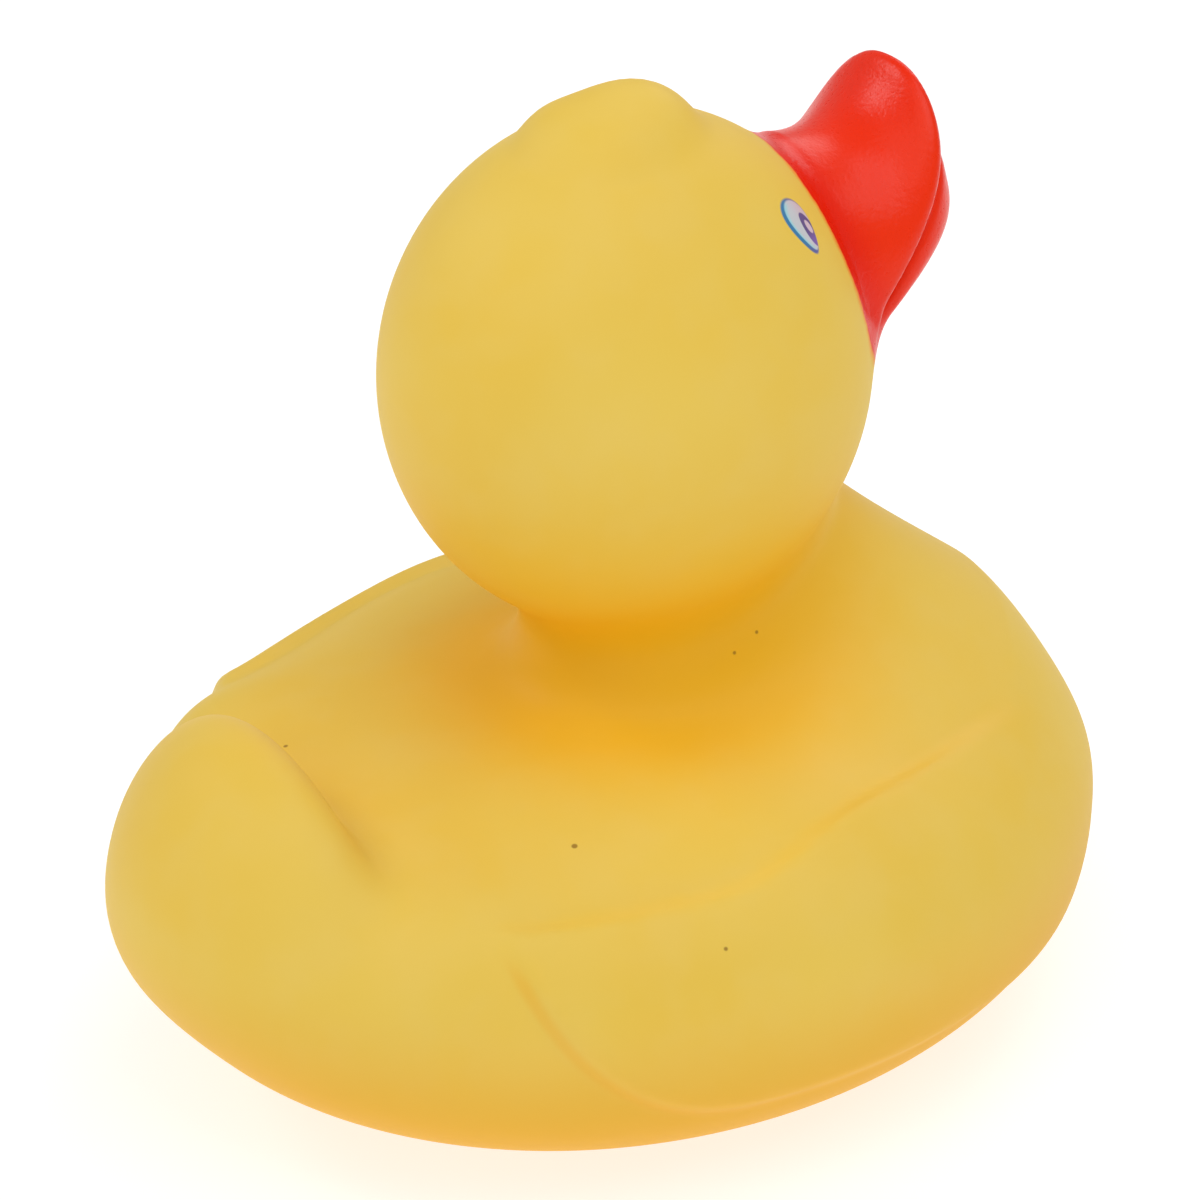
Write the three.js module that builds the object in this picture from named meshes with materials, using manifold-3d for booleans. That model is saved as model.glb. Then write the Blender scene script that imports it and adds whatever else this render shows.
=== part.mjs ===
// A bath duck: one hollow rotational moulding in soft vinyl, with a red painted
// beak and printed eyes. Millimetres, +Z up. The duck looks along -Y, its own
// left side is +X, and it stands on the flat oval under its body.
import * as THREE from 'three';
import { mergeVertices } from 'three/addons/utils/BufferGeometryUtils.js';
import Module from 'manifold-3d';

// ---- Driving dimensions ----------------------------------------------------
// Places are given as front (towards the beak) and up, from a point under the
// middle of the body, and every form is mirrored about the duck's middle plane.
const WALL = 1.8;
const BASE_UP = 2.0;
const VENT = { radius: 4.0, front: 9.5, length: 20.0 };

const BODY = { front: 6.5, up: 22.2, radii: [47.6, 57.5, 22.1], power: 2.5 };
const CHEST = { low: [38.1, 35.6, 15.2], high: [26.4, 57.0, 9.0], blend: 22.9 };
const NECK = { front: 10.0, low: 36.0, high: 66.0, radius: 12.8, stretch: 0.75, blend: 8.0 };
const SHOULDER = { height: 1.8, front: 10.0, spread: 15.0, side: 24.0, up: 20.0, ramp: 14.0 };
const HAUNCH = { height: 2.2, side: 28.0, front: -31.0, up: 36.0, spread: 9.0 };
const TAIL = { front: -43.6, up: 34.4, radii: [24.4, 9.1, 15.6], tilt: -24.3 };
const TAIL_SWEEP = 0.010;
const TAIL_BLEND = 5.0;
const HEAD = { front: 9.5, up: 79.9, radii: [24.4, 27.8, 29.2], tilt: 1.7 };
const HEAD_BLEND = 4.0;
const TUFT_FRONT_LOBE = { front: 11.3, up: 103.7, radii: [8.6, 7.7, 8.5] };
const TUFT_REAR_LOBE = { front: 6.8, up: 105.1, radii: [9.7, 8.8, 6.2] };
const TUFT_BLEND = 2.2;

// The wings are low pads on the flanks. Seen from above their top edge bends out
// and back in again, and seen from the side their lower edge is a quarter round
// behind and level in front. They fade out over the chest and towards the base.
const WING_HEIGHT = 1.3;
const WING_EDGE = 2.0;
const WING_CORNER = 1.5;
const WING_RIM = { side: 40.0, front: 0.0, bend: 6.0, slope: 0.38, lean: 0.8 };
const WING_ARC = { front: -3.9, up: 38.0, radius: 22.4 };
const WING_FADE = { start: 26, end: 56 };
const WING_THIN = { share: 0.4, from: 8.0, to: 22.0 };

// The beak has its own axes: ahead along its pitched axis and lift square to
// it, both from the middle of the head. side is the distance from the middle.
const BEAK_PITCH = 14.0;
const BEAK_ROOT = 14.0;
const CORNER = { ahead: 25.4, lift: -1.5 };
const MOUTH_SLOPE = 0.89;
const UPPER_BEAK = {
  length: 40.7,
  rootHalf: 13.7,
  tipHalf: 15.4,
  rootTop: 16.5,
  tipTop: 20.7,
  dip: 2.3,
  arch: 6.5,
  flattening: 0.8,
};
const LOWER_BEAK = {
  length: 41.4,
  rootHalf: 12.4,
  tipHalf: 12.4,
  rootBottom: -6.5,
  tipBottom: 2.0,
  crown: 3.0,
};
const LIP = 1.2;
const MOUTH_JOIN = 0.3;
const MOUTH_GROOVE = { depth: 0.9, from: 0.6 };
const EDGE_ROUNDING = 0.45;
const OUTLINE_POWER = 2.6;

// ---- Signed distance formulas ------------------------------------------------
// Each form is a function that is negative inside the form and positive
// outside it. side, front and up are the coordinates of the point asked about.
const clamp = (value, low, high) => Math.min(high, Math.max(low, value));

const smoothStep = (share) => {
  const t = clamp(share, 0, 1);
  return t * t * (3 - 2 * t);
};

const softMin = (a, b, blend) => {
  const share = clamp(0.5 + (0.5 * (b - a)) / blend, 0, 1);
  return b + (a - b) * share - blend * share * (1 - share);
};

const softMax = (a, b, blend) => -softMin(-a, -b, blend);

function ellipsoid(side, front, up, form) {
  const turn = THREE.MathUtils.degToRad(form.tilt ?? 0);
  const ahead = front - form.front;
  const above = up - form.up;
  const along = ahead * Math.cos(turn) + above * Math.sin(turn);
  const across = above * Math.cos(turn) - ahead * Math.sin(turn);
  const [a, b, c] = form.radii;
  const reach = Math.hypot(side / a, along / b, across / c);
  const slope = Math.hypot(side / (a * a), along / (b * b), across / (c * c));
  return (reach * (reach - 1)) / Math.max(slope, 1e-9);
}

// Like an ellipsoid, but with fuller shoulders across: power 2 would be round.
function bodyForm(side, front, up) {
  const [a, b, c] = BODY.radii;
  const wide = Math.abs(side) / a;
  const tall = Math.abs(up - BODY.up) / c;
  const along = (front - BODY.front) / b;
  const across = Math.max((wide ** BODY.power + tall ** BODY.power) ** (1 / BODY.power), 1e-3);
  const reach = Math.hypot(across, along);
  const widening = (wide / across) ** (BODY.power - 1) / a;
  const rising = (tall / across) ** (BODY.power - 1) / c;
  const slope = Math.hypot(across * widening, across * rising, along / b) / reach;
  return (reach - 1) / slope;
}

function chestForm(side, front, up) {
  const [frontLow, upLow, radiusLow] = CHEST.low;
  const [frontHigh, upHigh, radiusHigh] = CHEST.high;
  const leanFront = frontHigh - frontLow;
  const leanUp = upHigh - upLow;
  const run = (front - frontLow) * leanFront + (up - upLow) * leanUp;
  const share = clamp(run / (leanFront ** 2 + leanUp ** 2), 0, 1);
  const radius = THREE.MathUtils.lerp(radiusLow, radiusHigh, share);
  return Math.hypot(side, front - frontLow - leanFront * share, up - upLow - leanUp * share) - radius;
}

// Round behind, and longer in front, where it runs into the chest.
function neckForm(side, front, up) {
  const ahead = front - NECK.front;
  const stretched = ahead > 0 ? ahead * NECK.stretch : ahead;
  return Math.hypot(side, stretched, up - clamp(up, NECK.low, NECK.high)) - NECK.radius;
}

function tailForm(side, front, up) {
  const sweep = TAIL_SWEEP * side * side;
  return ellipsoid(side, front - sweep, up + sweep, TAIL);
}

// How far the wing, and the rounded shoulder under it, stand out of the body.
function wingHeight(side, front, up) {
  const bend = Math.hypot(front - WING_RIM.front, WING_RIM.bend) - WING_RIM.bend;
  const insideRim = WING_RIM.lean * (WING_RIM.side - WING_RIM.slope * bend - side);
  const behind = Math.min(front - WING_ARC.front, 0);
  const below = Math.min(up - WING_ARC.up, 0);
  const outsideArc = Math.hypot(behind, below) - WING_ARC.radius;
  const pad = smoothStep(0.5 - softMax(insideRim, outsideArc, WING_CORNER) / (2 * WING_EDGE));
  const fade = smoothStep((WING_FADE.end - front) / (WING_FADE.end - WING_FADE.start));
  const thick = smoothStep((up - WING_THIN.from) / (WING_THIN.to - WING_THIN.from));
  const shoulder = SHOULDER.height * Math.exp(-(((front - SHOULDER.front) / SHOULDER.spread) ** 2))
    * smoothStep((side - SHOULDER.side) / SHOULDER.ramp)
    * smoothStep((up - SHOULDER.up) / SHOULDER.ramp);
  return WING_HEIGHT * pad * fade * THREE.MathUtils.lerp(WING_THIN.share, 1, thick) + shoulder;
}

// The rounding of the flank between the wing's tip and the tail.
function haunchHeight(side, front, up) {
  const away = Math.hypot(side - HAUNCH.side, front - HAUNCH.front, up - HAUNCH.up);
  return HAUNCH.height * Math.exp(-((away / HAUNCH.spread) ** 2));
}

function torsoForm(side, front, up) {
  const body = softMin(bodyForm(side, front, up), chestForm(side, front, up), CHEST.blend);
  const bodyAndNeck = softMin(body, neckForm(side, front, up), NECK.blend);
  const out = Math.abs(side);
  return bodyAndNeck - wingHeight(out, front, up) - haunchHeight(out, front, up);
}

function headForm(side, front, up) {
  const lobes = softMin(
    ellipsoid(side, front, up, TUFT_FRONT_LOBE),
    ellipsoid(side, front, up, TUFT_REAR_LOBE),
    TUFT_BLEND,
  );
  return softMin(ellipsoid(side, front, up, HEAD), lobes, TUFT_BLEND);
}

// ---- The beak ------------------------------------------------------------------
// The faces of each plate are given as lift, for a place in its outline. share
// runs from 0 at the mouth's corner to 1 at the tip, and wide from 0 to 1 at
// the side edge.
const mouthLine = (ahead) => CORNER.lift + MOUTH_SLOPE * (ahead - CORNER.ahead);

function upperFaces(ahead, share, wide, groove) {
  const inside = clamp(share, 0, 1);
  const rise = (UPPER_BEAK.tipTop - UPPER_BEAK.rootTop) * inside ** 2;
  const ridge = UPPER_BEAK.rootTop + rise - UPPER_BEAK.dip * Math.sin(Math.PI * inside);
  const round = (UPPER_BEAK.rootTop - CORNER.lift) * (1 - Math.sqrt(1 - wide * wide));
  const arched = UPPER_BEAK.arch * wide * wide;
  const top = ridge - THREE.MathUtils.lerp(round, arched, inside ** UPPER_BEAK.flattening);
  const mouth = mouthLine(ahead) - MOUTH_JOIN + groove;
  return [mouth, Math.max(top, mouth + LIP)];
}

function lowerFaces(ahead, share, wide, groove) {
  const keel = THREE.MathUtils.lerp(LOWER_BEAK.rootBottom, LOWER_BEAK.tipBottom, Math.max(share, -0.5));
  const bottom = keel + LOWER_BEAK.crown * wide * wide;
  const mouth = mouthLine(ahead) + MOUTH_JOIN - groove;
  return [Math.min(bottom, mouth - LIP), mouth];
}

// A ball pressed into a plate: its equator becomes the rim, and its two halves
// become the plate's two faces. Towards the rim the mouth opens into a groove.
function beakPlate(plate, facesAt) {
  const geometry = new THREE.SphereGeometry(1, 56, 16);
  const position = geometry.attributes.position;
  const pitch = THREE.MathUtils.degToRad(BEAK_PITCH);
  for (let i = 0; i < position.count; i += 1) {
    const corner = new THREE.Vector3().fromBufferAttribute(position, i);
    const flat = Math.hypot(corner.x, corner.z);
    const across = flat > 0 ? Math.abs(corner.x) / flat : 1;
    const along = flat > 0 ? corner.z / flat : 0;
    const square = (across ** OUTLINE_POWER + Math.abs(along) ** OUTLINE_POWER) ** (-1 / OUTLINE_POWER);
    const spread = flat ** EDGE_ROUNDING;
    const share = along * square * spread;
    const reach = share > 0 ? plate.length - CORNER.ahead : CORNER.ahead - BEAK_ROOT;
    const ahead = CORNER.ahead + share * reach;
    const wide = Math.min(across * square * spread, 1);
    const half = THREE.MathUtils.lerp(plate.rootHalf, plate.tipHalf, clamp(share, 0, 1));
    const toRim = (spread - MOUTH_GROOVE.from) / (1 - MOUTH_GROOVE.from);
    const groove = MOUTH_GROOVE.depth * smoothStep(toRim);
    const [low, high] = facesAt(ahead, share, wide, groove);
    const rise = Math.sign(corner.y) * Math.abs(corner.y) ** EDGE_ROUNDING;
    const lift = THREE.MathUtils.lerp(low, high, 0.5 + 0.5 * rise);
    const front = HEAD.front + ahead * Math.cos(pitch) - lift * Math.sin(pitch);
    const up = HEAD.up + ahead * Math.sin(pitch) + lift * Math.cos(pitch);
    position.setXYZ(i, Math.sign(corner.x) * wide * half, -front, up);
  }
  return solidFrom(geometry);
}

// ---- Solids ------------------------------------------------------------------
const wasm = await Module();
wasm.setup();

function solidFrom(geometry) {
  geometry.deleteAttribute('normal');
  geometry.deleteAttribute('uv');
  const merged = mergeVertices(geometry, 1e-5);
  return new wasm.Manifold(
    new wasm.Mesh({
      numProp: 3,
      vertProperties: Float32Array.from(merged.attributes.position.array),
      triVerts: Uint32Array.from(merged.index.array),
    }),
  );
}

// An ellipsoid seed inside the form, whose corners move out square to the seed
// until they lie on the form. With no radii the seed is a point, and the
// corners move straight out from it.
function wrapSeed(form, seed) {
  const stride = 0.5;
  const geometry = new THREE.IcosahedronGeometry(1, seed.detail);
  const radii = new THREE.Vector3(...(seed.radii ?? [0, 0, 0]));
  const lean = THREE.MathUtils.degToRad(seed.tilt ?? 0);
  const tipUp = new THREE.Matrix4().makeRotationX(-lean);
  const start = new THREE.Vector3();
  const heading = new THREE.Vector3();
  const corner = new THREE.Vector3();
  const position = geometry.attributes.position;
  const depthAt = (reach) => {
    corner.copy(heading).multiplyScalar(reach).add(start);
    return form(corner.x, -corner.y, corner.z);
  };
  for (let i = 0; i < position.count; i += 1) {
    start.fromBufferAttribute(position, i).normalize();
    heading.copy(start);
    if (seed.radii) {
      heading.divide(radii).normalize();
    }
    start.multiply(radii).applyMatrix4(tipUp);
    heading.applyMatrix4(tipUp);
    start.y -= seed.front;
    start.z += seed.up;
    let outer = stride;
    while (depthAt(outer) < 0) {
      outer += stride;
    }
    let inner = outer - stride;
    for (let halving = 0; halving < 20; halving += 1) {
      const middle = (inner + outer) / 2;
      if (depthAt(middle) < 0) {
        inner = middle;
      } else {
        outer = middle;
      }
    }
    depthAt(outer);
    position.setXYZ(i, corner.x, corner.y, corner.z);
  }
  return solidFrom(geometry);
}

function ventCutter() {
  const geometry = new THREE.CylinderGeometry(VENT.radius, VENT.radius, VENT.length, 24);
  geometry.rotateX(Math.PI / 2);
  geometry.translate(0, -VENT.front, BASE_UP);
  return solidFrom(geometry);
}

function boxBelow(up) {
  const size = 200;
  const geometry = new THREE.BoxGeometry(size, size, size);
  geometry.translate(0, 0, up - size / 2);
  return solidFrom(geometry);
}

// Evens out a joined skin and lays its corners back on the blended form, so
// that the seams where the wraps meet turn into smooth hollows.
function settle(solid, form) {
  const rounds = 6;
  const newtonSteps = 3;
  const geometry = geometryFrom(solid);
  const position = geometry.attributes.position;
  const index = geometry.index;
  const neighbours = Array.from({ length: position.count }, () => new Set());
  for (let i = 0; i < index.count; i += 3) {
    const triangle = [index.getX(i), index.getX(i + 1), index.getX(i + 2)];
    for (const corner of triangle) {
      triangle.filter((other) => other !== corner).forEach((other) => neighbours[corner].add(other));
    }
  }
  const here = new THREE.Vector3();
  const there = new THREE.Vector3();
  for (let round = 0; round < rounds; round += 1) {
    const evened = neighbours.map((ring, i) => {
      const middle = new THREE.Vector3();
      ring.forEach((other) => middle.add(there.fromBufferAttribute(position, other)));
      middle.divideScalar(ring.size);
      return here.fromBufferAttribute(position, i).clone().lerp(middle, 0.5);
    });
    evened.forEach((corner, i) => {
      for (let step = 0; step < newtonSteps; step += 1) {
        layOnForm(corner, form);
      }
      position.setXYZ(i, corner.x, corner.y, corner.z);
    });
  }
  return solidFrom(geometry);
}

// One Newton step along the slope of the form, never longer than a millimetre.
function layOnForm(corner, form) {
  const nudge = 0.05;
  const gentlest = 0.2;
  const depth = (x, y, z) => form(x, -y, z);
  const { x, y, z } = corner;
  const slope = new THREE.Vector3(
    depth(x + nudge, y, z) - depth(x - nudge, y, z),
    depth(x, y + nudge, z) - depth(x, y - nudge, z),
    depth(x, y, z + nudge) - depth(x, y, z - nudge),
  ).divideScalar(2 * nudge);
  const move = clamp(-depth(x, y, z) / Math.max(slope.lengthSq(), gentlest), -1, 1);
  corner.addScaledVector(slope, move);
}

function birdForm(side, front, up) {
  const body = softMin(torsoForm(side, front, up), tailForm(side, front, up), TAIL_BLEND);
  return softMin(body, headForm(side, front, up), HEAD_BLEND);
}

function duckShell() {
  const inset = (form) => (side, front, up) =>
    Math.max(form(side, front, up), BASE_UP - up) + WALL;
  const torso = { front: 4, up: 12, detail: 12 };
  const tail = { front: TAIL.front, up: TAIL.up, detail: 6, tilt: TAIL.tilt, radii: [17, 3, 7] };
  const head = { front: HEAD.front, up: HEAD.up, detail: 9 };
  const bird = wrapSeed(torsoForm, torso)
    .add(wrapSeed(tailForm, tail))
    .add(wrapSeed(headForm, head));
  const outside = settle(bird, birdForm)
    .add(beakPlate(UPPER_BEAK, upperFaces))
    .add(beakPlate(LOWER_BEAK, lowerFaces));
  const inside = wrapSeed(inset(torsoForm), { ...torso, detail: 8 })
    .add(wrapSeed(inset(headForm), { ...head, detail: 6 }));
  return outside
    .subtract(boxBelow(BASE_UP))
    .subtract(inside)
    .subtract(ventCutter());
}

function geometryFrom(solid) {
  const mesh = solid.getMesh();
  const geometry = new THREE.BufferGeometry();
  geometry.setAttribute('position', new THREE.BufferAttribute(mesh.vertProperties, 3));
  geometry.setIndex(new THREE.BufferAttribute(mesh.triVerts, 1));
  return geometry;
}

// ---- The duck, with its origin under the middle of its box --------------------
const vinyl = new THREE.MeshStandardMaterial({ color: 0xe7c156, roughness: 0.45, metalness: 0 });
const duck = new THREE.Mesh(geometryFrom(duckShell()), vinyl);
duck.name = 'duck_shell';
duck.geometry.computeBoundingBox();
const box = duck.geometry.boundingBox;
duck.geometry.translate(0, -(box.min.y + box.max.y) / 2, -box.min.z);

const group = new THREE.Group();
group.add(duck);

export default group;
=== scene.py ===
"""A bath duck in soft yellow vinyl with a red painted beak, seen from behind on a pale floor.

The skin is one closed mesh, wrapped round the zero surface of a few blended forms. Lengths in
the forms are millimetres, in the duck's own directions: side, front (towards the beak) and up.
"""
import math

import bpy
import numpy as np
from mathutils import Matrix, Vector


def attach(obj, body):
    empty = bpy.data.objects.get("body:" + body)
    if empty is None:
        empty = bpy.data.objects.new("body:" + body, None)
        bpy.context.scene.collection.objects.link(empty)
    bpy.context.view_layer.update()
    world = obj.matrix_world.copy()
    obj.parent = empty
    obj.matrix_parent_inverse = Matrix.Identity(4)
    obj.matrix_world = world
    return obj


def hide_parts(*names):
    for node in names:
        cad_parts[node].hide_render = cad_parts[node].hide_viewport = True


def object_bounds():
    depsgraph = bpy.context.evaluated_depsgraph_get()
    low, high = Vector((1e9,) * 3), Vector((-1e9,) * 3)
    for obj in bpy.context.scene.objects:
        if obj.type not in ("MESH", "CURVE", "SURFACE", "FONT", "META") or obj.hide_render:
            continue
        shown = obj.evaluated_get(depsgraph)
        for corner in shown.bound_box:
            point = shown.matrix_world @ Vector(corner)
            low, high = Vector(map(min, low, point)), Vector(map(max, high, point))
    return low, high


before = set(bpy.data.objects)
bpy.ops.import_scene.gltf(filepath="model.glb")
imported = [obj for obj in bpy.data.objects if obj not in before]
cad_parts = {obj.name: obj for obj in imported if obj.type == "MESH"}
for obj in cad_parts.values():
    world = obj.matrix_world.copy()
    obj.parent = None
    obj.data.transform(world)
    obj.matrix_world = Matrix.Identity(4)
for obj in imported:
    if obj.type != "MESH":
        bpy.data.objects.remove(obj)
cad_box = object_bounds()

MM = 0.001
WALL = 1.8
BASE_UP = 2.0
BASE_EDGE = 1.6
VENT = {"radius": 4.0, "front": 9.5, "rim": 0.5, "below": 2.0, "lip": 0.001, "above": 6.0,
        "around": 64, "rounding": 6}

BODY = {"front": 6.5, "up": 22.2, "radii": (47.6, 57.5, 22.1), "power": 2.5, "core": 1e-3}
CHEST = {"low": (38.1, 35.6, 15.2), "high": (26.4, 57.0, 9.0), "blend": 22.9}
NECK = {"front": 10.0, "low": 36.0, "high": 66.0, "radius": 12.8, "stretch": 0.75, "blend": 8.0}
SHOULDER = {"height": 1.8, "front": 10.0, "spread": 15.0, "side": 24.0, "up": 20.0, "ramp": 14.0}
HAUNCH = {"height": 2.2, "side": 28.0, "front": -31.0, "up": 36.0, "spread": 9.0}
TAIL = {"front": -43.6, "up": 34.4, "radii": (24.4, 9.1, 15.6), "tilt": -24.3, "sweep": 0.010}
HEAD = {"front": 9.5, "up": 79.9, "radii": (24.4, 27.8, 29.2), "tilt": 1.7}
TUFT_FRONT = {"front": 11.3, "up": 103.7, "radii": (8.6, 7.7, 8.5)}
TUFT_REAR = {"front": 6.8, "up": 105.1, "radii": (9.7, 8.8, 6.2)}
TAIL_BLEND = 5.0
HEAD_BLEND = 4.0
TUFT_BLEND = 2.2
TUFT_EDGE = 1.4
BEAK_BLEND = 2.4
GENTLEST = 1e-9

# The wings are low pads. Their top edge bends out and in again, seen from above, and their
# lower edge is a quarter round behind and level in front.
WING_HEIGHT = 1.3
WING_EDGE = 1.3
WING_CORNER = 1.5
WING_RIM = {"side": 40.0, "front": 0.0, "bend": 6.0, "slope": 0.38, "lean": 0.8}
WING_ARC = {"front": -3.9, "up": 38.0, "radius": 22.4}
WING_FADE = {"start": 26.0, "end": 56.0}
WING_THIN = {"share": 0.4, "from": 8.0, "to": 22.0}

# The beak has its own axes from the middle of the head: ahead along its pitched axis, and lift.
BEAK_PITCH = math.radians(14.0)
BEAK_ROOT = 14.0
CORNER = {"ahead": 25.4, "lift": -1.5}
MOUTH_SLOPE = 0.89
MOUTH_GAP = 1.0
MOUTH_DEPTH = 4.5
MOUTH_BLEND = 0.8
OUTLINE_POWER = 2.6
LIP_EDGE = 1.6
OUTLINE_EDGE = 2.2
# What turns a height above each sloping face of the beak into a distance square to it.
SQUARE_TO = {"top": 0.75, "mouth": 0.68, "keel": 0.62, "floor": 0.7}
UPPER = {"length": 40.7, "root_half": 13.7, "tip_half": 15.4, "root_top": 16.5, "tip_top": 20.7,
         "dip": 2.3, "arch": 6.5, "flattening": 0.8}
LOWER = {"length": 41.4, "half": 12.4, "root_bottom": -6.5, "tip_bottom": 2.0, "crown": 3.0}

# Where the red paint ends, in the beak's axes, and how far it may wander. The pairs are the
# distances outside that line at which each mask is 0 and 1.
PAINT = {"ahead": 21.7, "low": -8.5, "crown": 0.012, "corner": 5.0, "wander": 0.9,
         "edge": (0.12, -0.12), "mist": (0.75, -0.1), "thick": (-6.0, -1.0), "relief": (0.2, -0.4)}

# Brown specks in the moulding: across (towards the duck's left), front, up and radius.
SPECKS = ((-26.3, -13.9, 40.5, 0.32), (-14.1, 14.1, 49.7, 0.2), (-13.6, 17.3, 51.1, 0.2),
          (-44.1, -6.4, 34.6, 0.22), (11.1, -28.9, 39.4, 0.25))
SPECK_SOFT = 0.1

# The eye is printed round this point of the head, mirrored on the other side.
EYE = {"side": 14.9, "front": 22.7, "up": 98.7}

# The eye's printed layers: middle (ahead, rise), half width and half height, then how much an
# egg tapers or an oval leans.
EYE_OUTLINE = ((-0.17, 0.02), 2.03, 3.38, 0.34)
EYE_WHITE = ((0.14, 0.02), 1.70, 3.05, 0.34)
EYE_IRIS = ((0.87, -0.85), 0.95, 2.07, 0.0)
EYE_GLINT = ((0.98, -0.56), 0.42, 0.82, 0.06)

# Where painted shade turns the yellow orange, under the head and on the underside: between which
# distances and heights each mask goes from 0 to 1.
PAINTED_SHADE = {"around_neck": (34.0, 13.0), "below_head": (78.0, 54.0), "above_back": (26.0, 40.0),
        "painted_underside_shade": (32.0, 12.0)}
# Painted shade along the wing's lower edge: how far outside the arc it lies, its width, and the
# heights, sides and fronts where it shows.
WING_CREASE_SHADE = {"outside": 0.5, "width": (1.0, 0.1), "up": (35.5, 32.5), "side": (26.0, 30.0),
             "front": (8.0, -6.0)}

# Roughness of each surface and how far noise moves it, then relief in millimetres.
ROUGH = {"vinyl": 0.49, "paint": 0.24, "print": 0.30, "swing": 0.10}
RELIEF = {"vinyl": 0.10, "paint": 0.055, "film": 0.03}
# Painted glow: faint orange light given off by the hollow under the head.
PAINTED_GLOW = (0.06, 0.03, 0.0, 1.0)

# The grid that the skin is wrapped on: its reach, and where its lines are closer together.
SKIN_STEP = 1.0
FINE_SHARE = {"sides": 0.7, "backs": 0.5, "ups": 0.5}
SIDES = {"low": -56.0, "high": 56.0, "fine_low": -17.0, "fine_high": 17.0}
BACKS = {"low": -68.0, "high": 60.0, "fine_low": -52.0, "fine_high": -29.0}
UPS = {"low": -2.0, "high": 116.0, "fine_low": 80.0, "fine_high": 108.0}
HOLLOW_STEP = 3.0
HOLLOW_GRID = ((-57.0, 58.5), (-69.0, 69.5), (-3.0, 115.5))
LAY_ON = {"rounds": 4, "nudge": 0.02, "gentlest": 0.1, "longest": 0.4}

# Azimuth 0 is in front of the duck and 90 on its left. Distances of the camera and of what it
# aims at are in millimetres.
CAMERA = {"azimuth": 239.585, "elevation": 27.94, "roll": -1.5, "sensor": 36.0, "lens": 125.7,
          "distance": 460.0, "aim": (-3.77, -3.23, 54.88)}
# Azimuth, elevation, then distance and size in metres, power in watts and colour.
LIGHTS = {
    "key": (290.0, 66.0, 0.9, 0.8, 3.2, (1.0, 1.0, 1.0)),
    "fill": (205.0, 50.0, 1.0, 0.9, 2.4, (1.0, 0.93, 0.82)),
    "front": (32.0, 34.0, 0.9, 0.5, 1.2, (1.0, 1.0, 1.0)),
    "back": (130.0, 38.0, 0.9, 0.25, 1.1, (1.0, 1.0, 1.0)),
}
LIGHTS_AIM = Vector((0, 0, 0.05))
SKY_STRENGTH = 0.33
FLOOR = {"half": 3.0, "rough": 0.9, "glow": 0.70}


# ---- Forms: functions that are negative inside, in millimetres --------------------------------
def smooth_step(share):
    share = np.clip(share, 0.0, 1.0)
    return share * share * (3.0 - 2.0 * share)


def soft_min(a, b, blend):
    share = np.clip(0.5 + 0.5 * (b - a) / blend, 0.0, 1.0)
    return b + (a - b) * share - blend * share * (1.0 - share)


def soft_max(a, b, blend):
    return -soft_min(-a, -b, blend)


def ellipsoid(side, front, up, form):
    turn = math.radians(form.get("tilt", 0.0))
    ahead, above = front - form["front"], up - form["up"]
    along = ahead * math.cos(turn) + above * math.sin(turn)
    across = above * math.cos(turn) - ahead * math.sin(turn)
    a, b, c = form["radii"]
    reach = np.sqrt((side / a) ** 2 + (along / b) ** 2 + (across / c) ** 2)
    slope = np.sqrt((side / a**2) ** 2 + (along / b**2) ** 2 + (across / c**2) ** 2)
    return reach * (reach - 1.0) / np.maximum(slope, GENTLEST)


def body_form(side, front, up):
    """Like an ellipsoid, but with fuller shoulders across: power 2 would be round."""
    a, b, c = BODY["radii"]
    power = BODY["power"]
    wide, tall, along = side / a, np.abs(up - BODY["up"]) / c, (front - BODY["front"]) / b
    across = np.maximum((wide**power + tall**power) ** (1.0 / power), BODY["core"])
    reach = np.hypot(across, along)
    widening = (wide / across) ** (power - 1.0) / a
    rising = (tall / across) ** (power - 1.0) / c
    slope = np.sqrt((across * widening) ** 2 + (across * rising) ** 2 + (along / b) ** 2) / reach
    return (reach - 1.0) / slope


def chest_form(side, front, up):
    front_low, up_low, radius_low = CHEST["low"]
    front_high, up_high, radius_high = CHEST["high"]
    lean_front, lean_up = front_high - front_low, up_high - up_low
    run = (front - front_low) * lean_front + (up - up_low) * lean_up
    share = np.clip(run / (lean_front**2 + lean_up**2), 0.0, 1.0)
    away_front = front - front_low - lean_front * share
    away_up = up - up_low - lean_up * share
    radius = radius_low + (radius_high - radius_low) * share
    return np.sqrt(side**2 + away_front**2 + away_up**2) - radius


def neck_form(side, front, up):
    """Round behind, and longer in front, where it runs into the chest."""
    ahead = front - NECK["front"]
    ahead = np.where(ahead > 0.0, ahead * NECK["stretch"], ahead)
    above = up - np.clip(up, NECK["low"], NECK["high"])
    return np.sqrt(side**2 + ahead**2 + above**2) - NECK["radius"]


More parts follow.
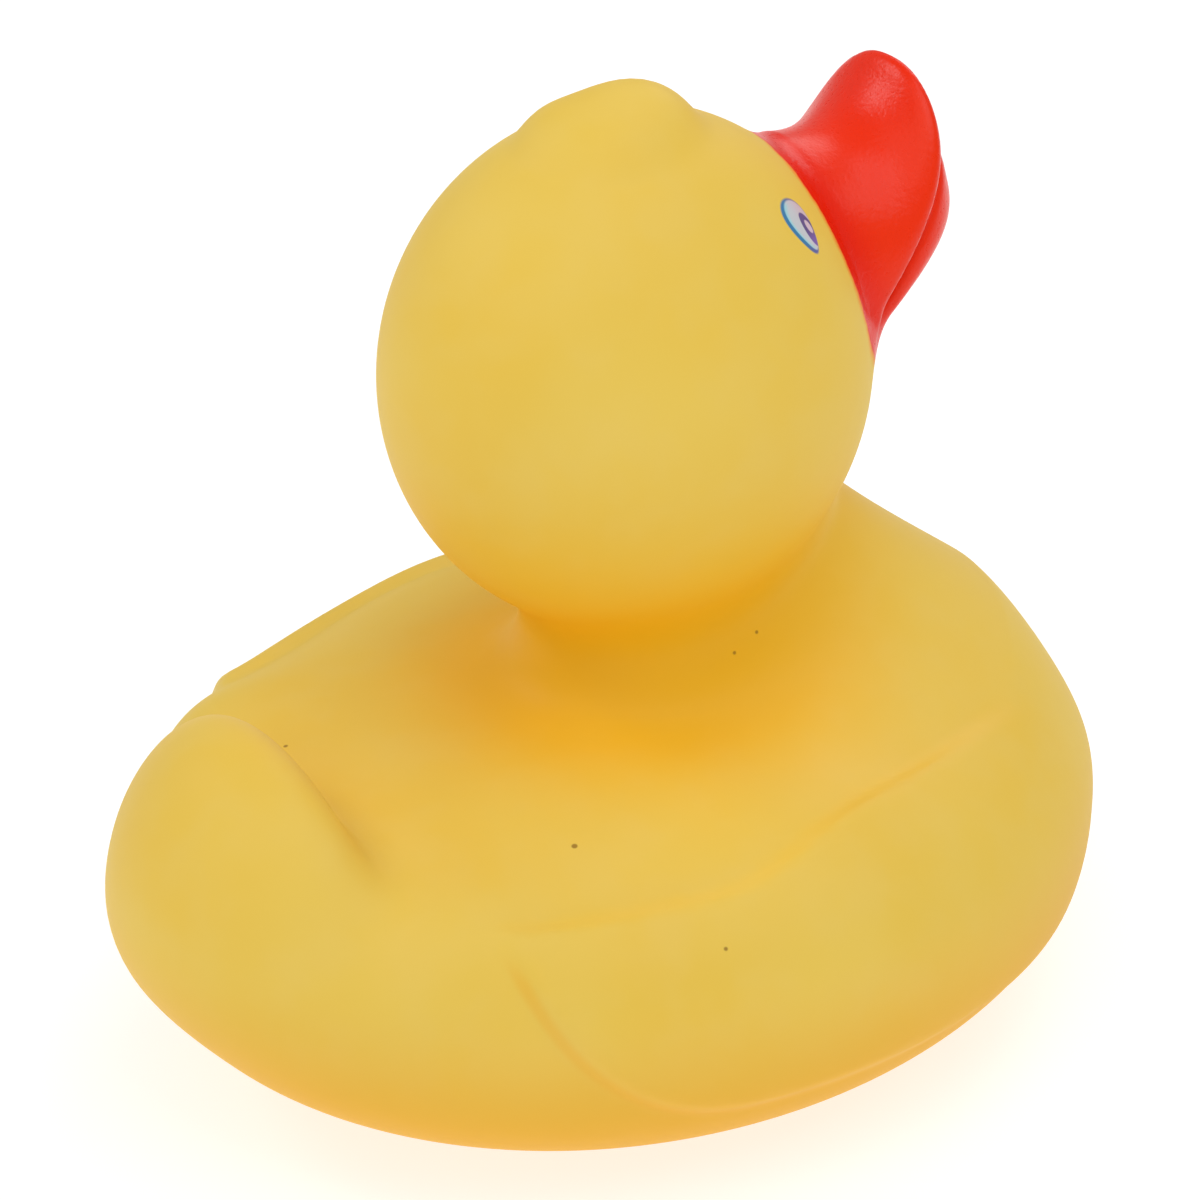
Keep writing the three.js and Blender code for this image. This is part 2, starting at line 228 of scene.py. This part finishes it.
def wing_height(side, front, up):
    """How far the wing, and the rounded shoulder under it, stand out of the body."""
    bend = np.hypot(front - WING_RIM["front"], WING_RIM["bend"]) - WING_RIM["bend"]
    inside_rim = WING_RIM["lean"] * (WING_RIM["side"] - WING_RIM["slope"] * bend - side)
    behind = np.minimum(front - WING_ARC["front"], 0.0)
    below = np.minimum(up - WING_ARC["up"], 0.0)
    outside_arc = np.hypot(behind, below) - WING_ARC["radius"]
    pad = smooth_step(0.5 - soft_max(inside_rim, outside_arc, WING_CORNER) / (2.0 * WING_EDGE))
    fade = smooth_step((WING_FADE["end"] - front) / (WING_FADE["end"] - WING_FADE["start"]))
    thick = smooth_step((up - WING_THIN["from"]) / (WING_THIN["to"] - WING_THIN["from"]))
    thick = WING_THIN["share"] + (1.0 - WING_THIN["share"]) * thick
    away = (front - SHOULDER["front"]) / SHOULDER["spread"]
    shoulder = SHOULDER["height"] * np.exp(-(away**2))
    shoulder = shoulder * smooth_step((side - SHOULDER["side"]) / SHOULDER["ramp"])
    shoulder = shoulder * smooth_step((up - SHOULDER["up"]) / SHOULDER["ramp"])
    return WING_HEIGHT * pad * fade * thick + shoulder


def haunch_height(side, front, up):
    """The rounding of the flank between the wing's tip and the tail."""
    away = (side - HAUNCH["side"]) ** 2 + (front - HAUNCH["front"]) ** 2 + (up - HAUNCH["up"]) ** 2
    return HAUNCH["height"] * np.exp(-away / HAUNCH["spread"] ** 2)


def torso_form(side, front, up):
    body = soft_min(body_form(side, front, up), chest_form(side, front, up), CHEST["blend"])
    body = soft_min(body, neck_form(side, front, up), NECK["blend"])
    return body - wing_height(side, front, up) - haunch_height(side, front, up)


def tail_form(side, front, up):
    sweep = TAIL["sweep"] * side**2
    return ellipsoid(side, front - sweep, up + sweep, TAIL)


def head_form(side, front, up):
    front_lobe = ellipsoid(side, front, up, TUFT_FRONT)
    rear_lobe = ellipsoid(side, front, up, TUFT_REAR)
    tuft = soft_min(front_lobe, rear_lobe, TUFT_BLEND)
    return soft_min(ellipsoid(side, front, up, HEAD), tuft, TUFT_EDGE)


def beak_axes(front, up):
    ahead, above = front - HEAD["front"], up - HEAD["up"]
    return (ahead * math.cos(BEAK_PITCH) + above * math.sin(BEAK_PITCH),
            above * math.cos(BEAK_PITCH) - ahead * math.sin(BEAK_PITCH))


def beak_outline(side, half, share, reach):
    """Straight sides that close in a blunt round tip, seen from above."""
    share = np.clip(share, 0.0, 2.0)
    radius = ((side / half) ** OUTLINE_POWER + share**OUTLINE_POWER) ** (1.0 / OUTLINE_POWER)
    return (radius - 1.0) * 0.5 * (half + reach)


def mouth_lift(ahead):
    return CORNER["lift"] + MOUTH_SLOPE * (ahead - CORNER["ahead"])


def upper_beak(side, ahead, lift):
    reach = UPPER["length"] - CORNER["ahead"]
    share = (ahead - CORNER["ahead"]) / reach
    inside = np.clip(share, 0.0, 1.0)
    rise = (UPPER["tip_top"] - UPPER["root_top"]) * np.clip(share, 0.0, 1.2) ** 2
    ridge = UPPER["root_top"] + rise - UPPER["dip"] * np.sin(math.pi * inside)
    half = UPPER["root_half"] + (UPPER["tip_half"] - UPPER["root_half"]) * inside
    wide = np.clip(side / half, 0.0, 1.3)
    fall = UPPER["root_top"] - CORNER["lift"]
    at_root = fall * (1.0 - np.sqrt(np.maximum(0.0, 1.0 - wide**2)))
    at_tip = UPPER["arch"] * wide**2
    blend = inside ** UPPER["flattening"]
    top = ridge - at_root * (1.0 - blend) - at_tip * blend
    mouth = mouth_lift(ahead) + 0.5 * MOUTH_GAP
    above, below = (lift - top) * SQUARE_TO["top"], (mouth - lift) * SQUARE_TO["mouth"]
    plate = soft_max(above, below, LIP_EDGE)
    outlined = soft_max(plate, beak_outline(side, half, share, reach), OUTLINE_EDGE)
    return np.maximum(outlined, BEAK_ROOT - ahead)


def lower_beak(side, ahead, lift):
    reach = LOWER["length"] - CORNER["ahead"]
    share = (ahead - CORNER["ahead"]) / reach
    mouth = mouth_lift(ahead) - 0.5 * MOUTH_GAP
    wide = np.clip(side / LOWER["half"], 0.0, 1.2)
    run = np.clip(share, -0.5, 1.3)
    keel = LOWER["root_bottom"] + (LOWER["tip_bottom"] - LOWER["root_bottom"]) * run
    bottom = keel + LOWER["crown"] * wide**2
    above, below = (lift - mouth) * SQUARE_TO["mouth"], (bottom - lift) * SQUARE_TO["keel"]
    plate = soft_max(above, below, LIP_EDGE)
    outlined = soft_max(plate, beak_outline(side, LOWER["half"], share, reach), OUTLINE_EDGE)
    return np.maximum(outlined, BEAK_ROOT - ahead)


def mouth_floor(side, ahead, lift):
    """What closes the mouth a few millimetres in from the lips."""
    reach = LOWER["length"] - CORNER["ahead"]
    share = (ahead - CORNER["ahead"]) / reach
    slab = np.abs(lift - mouth_lift(ahead)) * SQUARE_TO["floor"] - MOUTH_GAP
    return np.maximum(slab, beak_outline(side, LOWER["half"], share, reach) + MOUTH_DEPTH)


def beak_form(side, front, up):
    ahead, lift = beak_axes(front, up)
    halves = np.minimum(upper_beak(side, ahead, lift), lower_beak(side, ahead, lift))
    return soft_min(halves, mouth_floor(side, ahead, lift), MOUTH_BLEND)


def duck_form(side, front, up):
    body = soft_min(torso_form(side, front, up), tail_form(side, front, up), TAIL_BLEND)
    bird = soft_min(body, head_form(side, front, up), HEAD_BLEND)
    duck = soft_min(bird, beak_form(side, front, up), BEAK_BLEND)
    return soft_max(duck, BASE_UP - up, BASE_EDGE)


def hollow_form(side, front, up):
    inner = np.minimum(torso_form(side, front, up), head_form(side, front, up))
    return np.maximum(inner, BASE_UP - up) + WALL


# ---- Meshing -----------------------------------------------------------------------------------
def graded(low, high, fine_low, fine_high, step, fine_step):
    """Grid lines from low to high, closer together between fine_low and fine_high."""
    before = np.linspace(low, fine_low, max(2, round((fine_low - low) / step) + 1))
    middle = np.linspace(fine_low, fine_high, round((fine_high - fine_low) / fine_step) + 1)
    after = np.linspace(fine_high, high, max(2, round((high - fine_high) / step) + 1))
    return np.concatenate([before[:-1], middle, after[1:]])


def surface_net(form, lines):
    """The zero surface of a form: a corner in each cell it passes through, and a square across
    each grid edge that it cuts. lines are the grid's side, back (minus front) and up."""
    at = np.meshgrid(*lines, indexing="ij")
    depth = form(np.abs(at[0]), -at[1], at[2])
    cells = tuple(n - 1 for n in depth.shape)
    total, count = np.zeros((*cells, 3)), np.zeros(cells)
    squares = []
    for along in range(3):
        b, c = (along + 1) % 3, (along + 2) % 3
        near = np.take(depth, range(depth.shape[along] - 1), axis=along)
        far = np.take(depth, range(1, depth.shape[along]), axis=along)
        edge = np.argwhere((near < 0) != (far < 0))
        start, end = near[tuple(edge.T)], far[tuple(edge.T)]
        share = start / (start - end)
        point = np.stack([lines[k][edge[:, k]] for k in range(3)], axis=1)
        step = lines[along][edge[:, along] + 1] - lines[along][edge[:, along]]
        point[:, along] += share * step
        ring = []
        for step_b, step_c in ((-1, -1), (0, -1), (0, 0), (-1, 0)):
            cell = edge.copy()
            cell[:, b] += step_b
            cell[:, c] += step_c
            ring.append(cell)
            np.add.at(total, tuple(cell.T), point)
            np.add.at(count, tuple(cell.T), 1)
        flat = np.stack([np.ravel_multi_index(tuple(cell.T), cells) for cell in ring], axis=1)
        squares.append(np.where((start < 0)[:, None], flat, flat[:, ::-1]))
    used = np.flatnonzero(count)
    number = np.full(count.size, -1)
    number[used] = np.arange(len(used))
    corners = total.reshape(-1, 3)[used] / count.reshape(-1, 1)[used]
    return corners, number[np.concatenate(squares)]


def lay_on(form, corners):
    """Moves corners along the form's slope until they lie on its zero surface."""
    nudge, longest = LAY_ON["nudge"], LAY_ON["longest"]

    def depth(points):
        return form(np.abs(points[:, 0]), -points[:, 1], points[:, 2])

    for _ in range(LAY_ON["rounds"]):
        slope = np.stack(
            [(depth(corners + nudge * axis) - depth(corners - nudge * axis)) / (2 * nudge)
             for axis in np.eye(3)], axis=1)
        steep = np.maximum((slope**2).sum(axis=1), LAY_ON["gentlest"])
        move = np.clip(-depth(corners) / steep, -longest, longest)
        corners = corners + slope * move[:, None]
    return corners


def mesh_object(name, corners, faces):
    mesh = bpy.data.meshes.new(name)
    mesh.from_pydata(corners.tolist(), [], faces.tolist())
    mesh.update()
    made = bpy.data.objects.new(name, mesh)
    bpy.context.scene.collection.objects.link(made)
    return made


def vent_cutter(to_frame):
    """A round plug for the vent, flared where it meets the base, so that the rim is rounded."""
    radius, rim, around = VENT["radius"], VENT["rim"], VENT["around"]
    profile = [(radius + rim, BASE_UP - VENT["below"]), (radius + rim, BASE_UP - VENT["lip"])]
    for k in range(1, VENT["rounding"] + 1):
        turn = k / VENT["rounding"] * math.pi / 2
        reach = radius + rim * (1.0 - math.sin(turn))
        profile.append((reach, BASE_UP + rim * (1.0 - math.cos(turn))))
    profile.append((radius, BASE_UP + VENT["above"]))
    corners, faces = [], []
    for reach, up in profile:
        for k in range(around):
            turn = k / around * math.tau
            corners.append((reach * math.cos(turn), -VENT["front"] + reach * math.sin(turn), up))
    rings = len(profile)
    for ring in range(rings - 1):
        for k in range(around):
            low, high = ring * around, (ring + 1) * around
            after = (k + 1) % around
            faces.append((low + k, low + after, high + after, high + k))
    faces.append(tuple(reversed(range(around))))
    faces.append(tuple(range((rings - 1) * around, rings * around)))
    mesh = bpy.data.meshes.new("vent_cutter")
    mesh.from_pydata(to_frame(np.array(corners)).tolist(), [], faces)
    cutter = bpy.data.objects.new("vent_cutter", mesh)
    bpy.context.scene.collection.objects.link(cutter)
    return cutter


def cut(piece, cutter):
    """Takes the cutter out of the piece for good, and deletes the cutter."""
    modifier = piece.modifiers.new("cut", "BOOLEAN")
    modifier.operation = "DIFFERENCE"
    modifier.solver = "MANIFOLD"
    modifier.object = cutter
    graph = bpy.context.evaluated_depsgraph_get()
    mesh = bpy.data.meshes.new_from_object(piece.evaluated_get(graph))
    piece.modifiers.clear()
    old = piece.data
    piece.data = mesh
    bpy.data.meshes.remove(old)
    bpy.data.objects.remove(cutter)


def make_duck():
    step = SKIN_STEP
    sides = graded(**SIDES, step=step, fine_step=step * FINE_SHARE["sides"])
    backs = graded(**BACKS, step=step, fine_step=step * FINE_SHARE["backs"])
    ups = graded(**UPS, step=step, fine_step=step * FINE_SHARE["ups"])
    corners, faces = surface_net(duck_form, (sides, backs, ups))
    corners = lay_on(duck_form, corners)
    low, high = corners.min(axis=0), corners.max(axis=0)
    middle = (cad_box[0] + cad_box[1]) / 2
    shift = np.array([0.0, middle.y / MM - (low[1] + high[1]) / 2, cad_box[0].z / MM - BASE_UP])

    def to_frame(points):
        return (points + shift) * MM

    duck = mesh_object("duck", to_frame(corners), faces)
    lines = [np.arange(first, end, HOLLOW_STEP) for first, end in HOLLOW_GRID]
    inner, inner_faces = surface_net(hollow_form, lines)
    inner = lay_on(hollow_form, inner)
    cut(duck, mesh_object("hollow", to_frame(inner), inner_faces))
    cut(duck, vent_cutter(to_frame))
    duck.data.shade_smooth()
    duck.data.materials.clear()
    return duck, shift


# ---- Materials ---------------------------------------------------------------------------------
def colour(red, green, blue):
    """A screen colour, 0 to 255, as the renderer's linear colour."""
    def linear(value):
        value /= 255.0
        return value / 12.92 if value <= 0.04045 else ((value + 0.055) / 1.055) ** 2.4
    return (linear(red), linear(green), linear(blue), 1.0)


class Wire:
    """A number in a material's node tree, so that a formula can be written as one."""

    def __init__(self, tree, socket):
        self.tree, self.socket = tree, socket

    def join(self, operation, *others):
        node = self.tree.nodes.new("ShaderNodeMath")
        node.operation = operation
        for slot, value in zip(node.inputs, (self, *others), strict=False):
            if isinstance(value, Wire):
                self.tree.links.new(value.socket, slot)
            else:
                slot.default_value = value
        return Wire(self.tree, node.outputs[0])

    def __add__(self, other):
        return self.join("ADD", other)

    def __sub__(self, other):
        return self.join("SUBTRACT", other)

    def __mul__(self, other):
        return self.join("MULTIPLY", other)

    def __truediv__(self, other):
        return self.join("DIVIDE", other)

    def squared(self):
        return self.join("MULTIPLY", self)

    def step(self, low, high):
        """0 below low and 1 above high, or the other way round when low is above high."""
        node = self.tree.nodes.new("ShaderNodeMapRange")
        node.interpolation_type = "SMOOTHSTEP"
        flip = low > high
        node.inputs["From Min"].default_value = min(low, high)
        node.inputs["From Max"].default_value = max(low, high)
        node.inputs["To Min"].default_value = 1.0 if flip else 0.0
        node.inputs["To Max"].default_value = 0.0 if flip else 1.0
        self.tree.links.new(self.socket, node.inputs["Value"])
        return Wire(self.tree, node.outputs["Result"])


class Sheet:
    """The node tree of one material, with short names for what it is built from."""

    def __init__(self, name):
        self.material = bpy.data.materials.new(name)
        self.material.use_nodes = True
        self.tree = self.material.node_tree
        self.shader = self.tree.nodes["Principled BSDF"]
        self.places = self.tree.nodes.new("ShaderNodeTexCoord").outputs["Object"]

    def axes(self):
        split = self.tree.nodes.new("ShaderNodeSeparateXYZ")
        self.tree.links.new(self.places, split.inputs[0])
        return [Wire(self.tree, out) for out in split.outputs]

    def noise(self, size, detail=2.0, rough=0.5):
        """Soft noise from 0 to 1, whose lumps are about size millimetres across."""
        node = self.tree.nodes.new("ShaderNodeTexNoise")
        node.inputs["Scale"].default_value = 1.0 / (size * MM)
        node.inputs["Detail"].default_value = detail
        node.inputs["Roughness"].default_value = rough
        self.tree.links.new(self.places, node.inputs["Vector"])
        return Wire(self.tree, node.outputs["Fac"])

    def mix(self, share, under, over):
        """under where share is 0 and over where it is 1; each is a colour or a mixed socket."""
        node = self.tree.nodes.new("ShaderNodeMix")
        node.data_type = "RGBA"
        self.tree.links.new(share.socket, node.inputs["Factor"])
        for slot, value in ((node.inputs[6], under), (node.inputs[7], over)):
            if isinstance(value, tuple):
                slot.default_value = value
            else:
                self.tree.links.new(value, slot)
        return node.outputs[2]

    def feed(self, name, wire):
        self.tree.links.new(wire.socket, self.shader.inputs[name])


def duck_directions(sheet, shift):
    """side (never negative), front and up of the point being shaded, in millimetres, then how
    far across it is towards the duck's left."""
    x, y, z = sheet.axes()
    side = (x / MM).join("ABSOLUTE")
    front = y / -MM + shift[1]
    up = z / MM - shift[2]
    return side, front, up, x / MM


def paint_mask(sheet, side, front, up):
    """1 on the red paint and 0 on bare vinyl, with a slightly wandering edge, then a wider mask
    for the orange mist just outside it, one for the thick rim of paint just inside, and the
    first again with an even edge, for the relief."""
    ahead_of = front - HEAD["front"]
    above = up - HEAD["up"]
    ahead = ahead_of * math.cos(BEAK_PITCH) + above * math.sin(BEAK_PITCH)
    lift = above * math.cos(BEAK_PITCH) - ahead_of * math.sin(BEAK_PITCH)
    behind = (ahead * -1.0) + PAINT["ahead"]
    below = side.squared() * PAINT["crown"] + PAINT["low"] - lift
    outside = behind.join("SMOOTH_MAX", below, PAINT["corner"])
    edge = outside + (sheet.noise(2.5, 3.0) - 0.5) * PAINT["wander"]
    clean = outside.step(*PAINT["relief"])
    return (edge.step(*PAINT["edge"]), edge.step(*PAINT["mist"]), edge.step(*PAINT["thick"]),
            clean)


def painted_shade_masks(side, front, up):
    """Painted shade: 1 in the hollow under the head and 0 away from it, where the yellow is painted
    orange as shade, and the same for the bottom of the body, painted darker as shade."""
    around = (side.squared() + (front - NECK["front"]).squared()).join("SQRT")
    near_neck = around.step(*PAINTED_SHADE["around_neck"])
    under_head = up.step(*PAINTED_SHADE["below_head"])
    hollow = near_neck.join("MINIMUM", under_head) * up.step(*PAINTED_SHADE["above_back"])
    return hollow, up.step(*PAINTED_SHADE["painted_underside_shade"])


def wing_crease_shade_mask(side, front, up):
    """Painted shade: 1 along the lower edge of the wing, where the pad meets the flank behind it
    and the crease is darkened in the colour.
    """
    behind = (front - WING_ARC["front"]).join("MINIMUM", 0.0)
    below = (up - WING_ARC["up"]).join("MINIMUM", 0.0)
    reach = (behind.squared() + below.squared()).join("SQRT")
    away = (reach - (WING_ARC["radius"] + WING_CREASE_SHADE["outside"])).join("ABSOLUTE")
    line = away.step(*WING_CREASE_SHADE["width"]) * up.step(*WING_CREASE_SHADE["up"])
    return line * side.step(*WING_CREASE_SHADE["side"]) * front.step(*WING_CREASE_SHADE["front"])


def specks(across, front, up):
    """1 on each speck and 0 elsewhere."""
    dots = None
    for at_across, at_front, at_up, radius in SPECKS:
        away = (across - at_across).squared() + (front - at_front).squared()
        away = (away + (up - at_up).squared()).join("SQRT")
        dot = away.step(radius + SPECK_SOFT, radius - SPECK_SOFT)
        dots = dot if dots is None else dots.join("MAXIMUM", dot)
    return dots


def egg(u, v, middle, width, height, taper):
    """Below 1 inside an egg with its blunt end up."""
    u, v = u - middle[0], v - middle[1]
    half = (v / height) * (taper * width) + width
    return ((u / half).squared() + (v / height).squared()).join("SQRT")


def oval(u, v, middle, width, height, lean):
    """Below 1 inside an oval that leans from upright."""
    u, v = u - middle[0], v - middle[1]
    along = v - u * lean
    across = u + v * lean
    return ((across / width).squared() + (along / height).squared()).join("SQRT")


def eye_layers(sheet, side, front, up, colour_in):
    """The printed eye over colour_in. Returns the colour and a mask of the print."""
    outward = Vector((EYE["side"] / HEAD["radii"][0] ** 2,
                      (EYE["front"] - HEAD["front"]) / HEAD["radii"][1] ** 2,
                      (EYE["up"] - HEAD["up"]) / HEAD["radii"][2] ** 2)).normalized()
    rise = (Vector((0, 0, 1)) - outward * outward.z).normalized()
    ahead = Vector((-outward.y, outward.x, 0)).normalized()
    away = [wire - EYE[name] for wire, name in ((side, "side"), (front, "front"), (up, "up"))]
    u = away[0] * ahead.x + away[1] * ahead.y
    v = away[0] * rise.x + away[1] * rise.y + away[2] * rise.z
    soft = 0.05
    outline, white = egg(u, v, *EYE_OUTLINE), egg(u, v, *EYE_WHITE)
    iris, glint = oval(u, v, *EYE_IRIS), oval(u, v, *EYE_GLINT)
    printed = outline.step(1.0 + soft, 1.0 - soft)
    ring = sheet.mix(u.step(-0.6, 1.2), colour(62, 130, 178), colour(112, 98, 150))
    ring = sheet.mix(v.step(-1.4, -3.2), ring, colour(98, 104, 168))
    eye = sheet.mix(u.step(-0.5, 1.8), colour(205, 209, 214), colour(214, 193, 204))
    glow = white.step(0.72, 0.98).join("MULTIPLY", u.step(0.3, -0.9))
    eye = sheet.mix(glow, eye, colour(160, 218, 228))
    pupil = sheet.mix(v.step(-0.6, -2.4), colour(104, 88, 142), colour(132, 104, 180))
    pupil = sheet.mix(glint.step(1.12, 0.88), pupil, colour(218, 196, 208))
    eye = sheet.mix(iris.step(1.0 + soft, 1.0 - soft), eye, pupil)
    eye = sheet.mix(white.step(1.0 - soft, 1.0 + soft), eye, ring)
    return sheet.mix(printed, colour_in, eye), printed


def vinyl_material(shift):
    sheet = Sheet("vinyl_and_paint")
    side, front, up, across = duck_directions(sheet, shift)
    painted, misted, thick, clean = paint_mask(sheet, side, front, up)

    blotch = sheet.noise(22.0, 1.0)
    cloud = sheet.noise(7.0, 2.0)
    grain = sheet.noise(0.55, 2.0, 0.6)
    hollow, painted_underside_shade = painted_shade_masks(side, front, up)
    painted_crease_shade = wing_crease_shade_mask(side, front, up)
    yellow = sheet.mix(blotch.step(0.3, 0.7), colour(241, 206, 90), colour(241, 202, 80))
    yellow = sheet.mix(cloud.step(0.35, 0.75) * 0.35, yellow, colour(241, 208, 104))
    # Painted shade: the lower body is painted a deeper orange yellow.
    yellow = sheet.mix(painted_underside_shade, yellow, colour(242, 183, 46))
    # Painted shade darkens the crease along the wing's lower edge.
    yellow = sheet.mix(painted_crease_shade * 0.35, yellow, colour(240, 176, 40))
    # Painted shade: the hollow under the head, round the neck, is painted orange.
    yellow = sheet.mix(hollow * 0.85, yellow, colour(242, 184, 6))
    yellow = sheet.mix(specks(across, front, up) * 0.7, yellow, colour(120, 70, 10))
    mist = sheet.mix(misted * 0.75, yellow, colour(250, 120, 20))
    red = sheet.mix(blotch.step(0.3, 0.7), colour(246, 50, 4), colour(246, 42, 2))
    red = sheet.mix(thick * 0.8, red, colour(238, 26, 0))
    skin = sheet.mix(painted, mist, red)
    skin, printed = eye_layers(sheet, side, front, up, skin)
    sheet.tree.links.new(skin, sheet.shader.inputs["Base Color"])
    # Painted glow: the hollow under the head gives off a faint orange light.
    glow = sheet.mix(hollow, (0.0, 0.0, 0.0, 1.0), PAINTED_GLOW)
    sheet.tree.links.new(glow, sheet.shader.inputs["Emission Color"])
    sheet.shader.inputs["Emission Strength"].default_value = 1.0

    vinyl_rough = cloud * ROUGH["swing"] + ROUGH["vinyl"]
    paint_rough = grain * ROUGH["swing"] + ROUGH["paint"]
    rough = vinyl_rough + painted * (paint_rough - vinyl_rough)
    rough = rough + printed * (rough * -1.0 + ROUGH["print"])
    sheet.feed("Roughness", rough)

    height = cloud * RELIEF["vinyl"] + clean * (grain * RELIEF["paint"] + RELIEF["film"])
    bump = sheet.tree.nodes.new("ShaderNodeBump")
    bump.inputs["Strength"].default_value = 1.0
    bump.inputs["Distance"].default_value = MM
    sheet.tree.links.new(height.socket, bump.inputs["Height"])
    sheet.tree.links.new(bump.outputs["Normal"], sheet.shader.inputs["Normal"])

    shader = sheet.shader.inputs
    shader["IOR"].default_value = 1.5
    shader["Specular IOR Level"].default_value = 0.25
    return sheet.material


def floor_material():
    """Pale card, lit a little from within so that it stays clear of shadow."""
    sheet = Sheet("pale_floor")
    tone = sheet.mix(sheet.noise(60.0).step(0.3, 0.7), colour(180, 180, 180), colour(178, 178, 177))
    sheet.tree.links.new(tone, sheet.shader.inputs["Base Color"])
    sheet.shader.inputs["Roughness"].default_value = FLOOR["rough"]
    sheet.shader.inputs["Emission Color"].default_value = (1.0, 1.0, 1.0, 1.0)
    sheet.shader.inputs["Emission Strength"].default_value = FLOOR["glow"]
    return sheet.material


# ---- Studio ------------------------------------------------------------------------------------
def back_towards(azimuth, elevation):
    """The direction from the duck to what stands at this azimuth and elevation."""
    a, e = math.radians(azimuth), math.radians(elevation)
    return Vector((math.sin(a) * math.cos(e), -math.cos(a) * math.cos(e), math.sin(e)))


def make_floor():
    half = FLOOR["half"]
    corners = [(-half, -half, 0), (half, -half, 0), (half, half, 0), (-half, half, 0)]
    floor = mesh_object("floor", np.array(corners), np.array([(0, 1, 2, 3)]))
    floor.data.materials.append(floor_material())


def make_light(name, azimuth, elevation, distance, size, power, tint):
    lamp = bpy.data.lights.new(name, "AREA")
    lamp.color = tint
    lamp.size = size
    lamp.energy = power
    made = bpy.data.objects.new(name, lamp)
    back = back_towards(azimuth, elevation)
    made.location = back * distance + LIGHTS_AIM
    made.rotation_euler = back.to_track_quat("Z", "Y").to_euler()
    bpy.context.scene.collection.objects.link(made)


def make_world():
    world = bpy.data.worlds.new("studio")
    world.use_nodes = True
    sky = world.node_tree.nodes["Background"]
    sky.inputs["Color"].default_value = (1.0, 1.0, 1.0, 1.0)
    sky.inputs["Strength"].default_value = SKY_STRENGTH
    bpy.context.scene.world = world


def make_camera(shift):
    """Above and behind the duck's right side, turned slightly, with a long lens."""
    lens = bpy.data.cameras.new("camera")
    lens.sensor_width = CAMERA["sensor"]
    lens.lens = CAMERA["lens"]
    camera = bpy.data.objects.new("camera", lens)
    back = back_towards(CAMERA["azimuth"], CAMERA["elevation"])
    level = back.to_track_quat("Z", "Y").to_matrix()
    aim = Vector(CAMERA["aim"]) + Vector(shift)
    place = Matrix.Translation(aim * MM + back * CAMERA["distance"] * MM)
    roll = Matrix.Rotation(math.radians(CAMERA["roll"]), 3, "Z")
    camera.matrix_world = place @ (level @ roll).to_4x4()
    bpy.context.scene.collection.objects.link(camera)
    bpy.context.scene.camera = camera


duck, shift = make_duck()
make_camera(shift)
make_world()
make_floor()
for light, numbers in LIGHTS.items():
    make_light(light, *numbers)
bpy.context.scene.view_settings.view_transform = "Standard"

duck.data.materials.append(vinyl_material(shift))
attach(duck, "root")
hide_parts("duck_shell")
